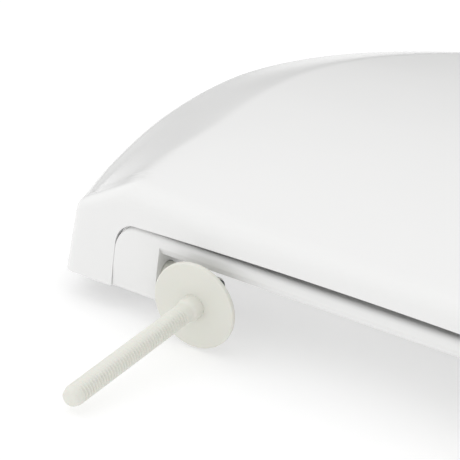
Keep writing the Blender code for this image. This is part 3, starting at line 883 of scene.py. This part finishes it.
class SEATLOOKS_OT_posts(bpy.types.Operator):
    """Build both hinge posts with their pins, base discs and threaded bolts."""

    bl_idname = "seatlooks.posts"
    bl_label = "Build hinge posts"

    def execute(self, context):
        looks = context.scene.seat_looks
        ivory, dark = material_named("Ivory moulding"), material_named("Pin painted shade")
        swung = math.radians(POST_TILT - 90.0)
        for side, sign in (("left", -1), ("right", 1)):
            body = f"{side}_post"
            self.barrel(side, sign, body, ivory, swung, looks)
            low, high = sorted((sign * PIN_HEAD_END_X, sign * (BARREL_INNER_X - 0.3)))
            head = rounded([(0.0, low), (PIN_HEAD_RADIUS, low), (PIN_HEAD_RADIUS, high), (0.0, high)], 0.8)
            # The pin head's near-black finish is painted shade where it peeks out of the shaded recess
            # behind the disc
            pin = mesh_object(turned(head, 40, "X"), f"{side}_pin_head", dark, body, turn=swung)
            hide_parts(f"{side}_hinge_pin")
            self.disc(side, sign, body, ivory, swung)
            bm = threaded_bolt(looks.thread_pitch / MM, looks.thread_depth / MM)
            bolt = mesh_object(shifted(bm, sign * POST_X), f"{side}_bolt", ivory, body, 50.0, swung)
            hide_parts(f"{side}_fixing_bolt")
        return {"FINISHED"}

    def barrel(self, side, sign, body, paint, swung, looks):
        """The barrel on the hinge axis and the neck below it, with a recess for the pin's head."""
        bm = bar(BARREL_RADIUS, sign * BARREL_INNER_X, sign * BARREL_OUTER_X)
        post = mesh_object(bm, f"{side}_post_moulding", paint, body)
        low = -(POST_HEIGHT - DISC_THICK - 0.3)
        neck = rounded(
            [
                (0.0, low), (NECK_RADIUS, low), (NECK_RADIUS, NECK_SHOULDER_Z),
                (NECK_TOP_RADIUS, NECK_WAIST_Z), (NECK_TOP_RADIUS, NECK_TOP_Z), (0.0, NECK_TOP_Z),
            ],
            0.8,
        )
        join_or_cut(post, shifted(turned(neck, BAR_STEPS), sign * POST_X), "UNION")
        recess = bar(PIN_HEAD_RADIUS + 0.3, sign * (BARREL_INNER_X - 12), sign * BARREL_INNER_X)
        join_or_cut(post, recess, "DIFFERENCE")
        turn = Matrix.Translation(AXIS) @ Matrix.Rotation(swung, 4, "X") @ Matrix.Translation(-AXIS)
        post.data.transform(turn)
        soften(post, looks.edge_round)
        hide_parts(f"{side}_hinge_post")

    def disc(self, side, sign, body, paint, swung):
        """The round disc that lands on the pan."""
        disc = mesh_object(shifted(base_disc(), sign * POST_X), f"{side}_disc", paint, body, 50.0, swung)
        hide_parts(f"{side}_base_disc")


class SEATLOOKS_OT_pads(bpy.types.Operator):
    """Build the rubber feet and the pads under the lid."""

    bl_idname = "seatlooks.pads"
    bl_label = "Build feet and pads"

    def execute(self, context):
        rubber = material_named("Pad rubber")
        for side in ("left", "right"):
            for place in ("front", "rear"):
                for kind, body in (("seat", "seat"), ("lid", "lid")):
                    node = f"{side}_{place}_{kind}_bumper"
                    low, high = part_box(node)
                    middle = (low + high) / 2
                    reach, tall = (high.x - low.x) / 2 / MM, (high.z - low.z) / MM
                    slim = reach * (0.9 if kind == "seat" else 1.0)
                    profile = [
                        (0.0, 0.5), (reach * 0.45, 0.5), (reach * 0.52, 0.0), (reach * 0.9, 0.0),
                        (reach, tall * 0.22), (slim, tall), (0.0, tall),
                    ]
                    bm = turned(rounded(profile, 0.9), 40)
                    shift = (middle - AXIS) / MM
                    bm = shifted(bm, shift.x, shift.y, (low.z - AXIS.z) / MM)
                    pad = mesh_object(bm, f"{side}_{place}_{kind}_pad", rubber, body)
                    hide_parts(node)
        return {"FINISHED"}


class SEATLOOKS_OT_fittings(bpy.types.Operator):
    """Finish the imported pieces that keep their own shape."""

    bl_idname = "seatlooks.fittings"
    bl_label = "Finish fittings"

    def execute(self, context):
        finishes = {"seat_underside": "White moulding"}
        for side in ("left", "right"):
            finishes[f"{side}_damper"] = "Natural plastic"
            finishes[f"{side}_lid_bush"] = "Natural plastic"
            finishes[f"{side}_lid_shaft"] = "Turned steel"
        for node, name in finishes.items():
            piece = frame["nodes"][node]
            piece.data.materials.clear()
            piece.data.materials.append(material_named(name))
        return {"FINISHED"}


class SEATLOOKS_OT_studio(bpy.types.Operator):
    """Set the floor, the lights and the camera."""

    bl_idname = "seatlooks.studio"
    bl_label = "Set studio"

    def execute(self, context):
        studio = context.scene.seat_studio
        self.floor(studio)
        self.surroundings(studio)
        self.area("Key", KEY_PLACE, KEY_SIZE, studio.key_power)
        self.area("Fill", FILL_PLACE, FILL_SIZE, studio.fill_power)
        data = bpy.data.cameras.new("Camera")
        data.lens, data.sensor_width = studio.focal_length, 36.0
        data.clip_start, data.clip_end = 0.05, 60.0
        camera = bpy.data.objects.new("Camera", data)
        camera.location = AXIS + Vector(CAMERA_OFFSET)
        camera.rotation_euler = Euler([math.radians(a) for a in CAMERA_TURN])
        context.scene.collection.objects.link(camera)
        context.scene.camera = camera
        return {"FINISHED"}

    def floor(self, studio):
        """A pale paper floor, just below the part."""
        bm = bmesh.new()
        bmesh.ops.create_grid(bm, x_segments=8, y_segments=8, size=FLOOR_REACH)
        mesh = bpy.data.meshes.new("Floor")
        bm.to_mesh(mesh)
        bm.free()
        floor = bpy.data.objects.new("Floor", mesh)
        floor.location.z = FLOOR_Z
        bpy.context.scene.collection.objects.link(floor)
        paper = bpy.data.materials.new("Studio paper")
        paper.use_nodes = True
        shader = paper.node_tree.nodes["Principled BSDF"]
        shader.inputs["Roughness"].default_value = 0.9
        shader.inputs["Specular IOR Level"].default_value = 0.1
        shader.inputs["Emission Color"].default_value = (1.0, 1.0, 1.0, 1.0)
        shader.inputs["Emission Strength"].default_value = studio.floor_glow
        noise = paper.node_tree.nodes.new("ShaderNodeTexNoise")
        noise.inputs["Scale"].default_value = 2.0
        level = paper.node_tree.nodes.new("ShaderNodeMapRange")
        level.inputs["To Min"].default_value = 0.60
        level.inputs["To Max"].default_value = 0.63
        paper.node_tree.links.new(noise.outputs["Fac"], level.inputs["Value"])
        paper.node_tree.links.new(level.outputs["Result"], shader.inputs["Base Color"])
        mesh.materials.append(paper)

    def surroundings(self, studio):
        """A soft sky, brighter overhead and to one side, dark low down in front of the seat."""
        world = bpy.data.worlds.new("Studio")
        world.use_nodes = True
        nodes, links = world.node_tree.nodes, world.node_tree.links
        place = nodes.new("ShaderNodeTexCoord")
        lean = nodes.new("ShaderNodeVectorMath")
        lean.operation = "DOT_PRODUCT"
        lean.inputs[1].default_value = Vector(SKY_LEAN).normalized()
        links.new(place.outputs["Generated"], lean.inputs[0])
        level = nodes.new("ShaderNodeMapRange")
        level.inputs["From Min"].default_value = -1.0
        level.inputs["To Min"].default_value = studio.surround - studio.sky_slope
        level.inputs["To Max"].default_value = studio.surround + studio.sky_slope
        links.new(lean.outputs["Value"], level.inputs["Value"])
        dark = self.dark_stretch(world.node_tree, place, studio.dark_stretch)
        total = math_node(world.node_tree, "MULTIPLY", level.outputs["Result"], dark)
        links.new(total, nodes["Background"].inputs["Strength"])
        nodes["Background"].inputs["Color"].default_value = (1.0, 1.0, 1.0, 1.0)
        bpy.context.scene.world = world
        bpy.context.scene.view_settings.view_transform = "Standard"

    def dark_stretch(self, tree, place, depth):
        """A factor that falls to 1 - depth low down on one side."""
        nodes, links = tree.nodes, tree.links
        facing = nodes.new("ShaderNodeVectorMath")
        facing.operation = "DOT_PRODUCT"
        facing.inputs[1].default_value = Vector(DARK_SIDE).normalized()
        links.new(place.outputs["Generated"], facing.inputs[0])
        side = nodes.new("ShaderNodeMapRange")
        side.interpolation_type = "SMOOTHSTEP"
        side.inputs["From Min"].default_value = 0.25
        side.inputs["From Max"].default_value = 0.8
        links.new(facing.outputs["Value"], side.inputs["Value"])
        parts = nodes.new("ShaderNodeSeparateXYZ")
        links.new(place.outputs["Generated"], parts.inputs["Vector"])
        low = nodes.new("ShaderNodeMapRange")
        low.interpolation_type = "SMOOTHSTEP"
        low.inputs["From Min"].default_value = 0.18
        low.inputs["From Max"].default_value = 0.36
        low.inputs["To Min"].default_value = 1.0
        low.inputs["To Max"].default_value = 0.0
        links.new(parts.outputs["Z"], low.inputs["Value"])
        both = math_node(tree, "MULTIPLY", side.outputs["Result"], low.outputs["Result"])
        return math_node(tree, "MULTIPLY_ADD", both, -depth, 1.0)

    def area(self, name, place, size, power):
        """A square soft light aimed at the seat's rear."""
        data = bpy.data.lights.new(name, "AREA")
        data.shape, data.size, data.energy = "SQUARE", size, power
        lamp = bpy.data.objects.new(name, data)
        lamp.location = place
        aim = Vector(LIGHT_AIM) - Vector(place)
        lamp.rotation_euler = aim.to_track_quat("-Z", "Y").to_euler()
        bpy.context.scene.collection.objects.link(lamp)


class SEATLOOKS_PT_panel(bpy.types.Panel):
    """Buttons and settings in the sidebar."""

    bl_label = "Toilet Seat"
    bl_idname = "SEATLOOKS_PT_panel"
    bl_space_type = "VIEW_3D"
    bl_region_type = "UI"
    bl_category = "Toilet Seat"

    def draw(self, context):
        for settings in (context.scene.seat_looks, context.scene.seat_studio):
            for prop in settings.__annotations__:
                self.layout.prop(settings, prop)
        for operator in OPERATORS:
            self.layout.operator(operator.bl_idname)


OPERATORS = (
    SEATLOOKS_OT_materials, SEATLOOKS_OT_lid, SEATLOOKS_OT_seat, SEATLOOKS_OT_posts,
    SEATLOOKS_OT_pads, SEATLOOKS_OT_fittings, SEATLOOKS_OT_studio,
)
CLASSES = (LookSettings, StudioSettings, *OPERATORS, SEATLOOKS_PT_panel)


def register():
    """Adds the classes and the two groups of settings."""
    for made in CLASSES:
        bpy.utils.register_class(made)
    bpy.types.Scene.seat_looks = PointerProperty(type=LookSettings)
    bpy.types.Scene.seat_studio = PointerProperty(type=StudioSettings)


def unregister():
    """Takes them away again."""
    del bpy.types.Scene.seat_studio
    del bpy.types.Scene.seat_looks
    for made in reversed(CLASSES):
        bpy.utils.unregister_class(made)


def main():
    """Builds everything."""
    register()
    bpy.ops.seatlooks.materials()
    bpy.ops.seatlooks.lid()
    bpy.ops.seatlooks.seat()
    bpy.ops.seatlooks.posts()
    bpy.ops.seatlooks.pads()
    bpy.ops.seatlooks.fittings()
    bpy.ops.seatlooks.studio()


if __name__ == "__main__":
    main()
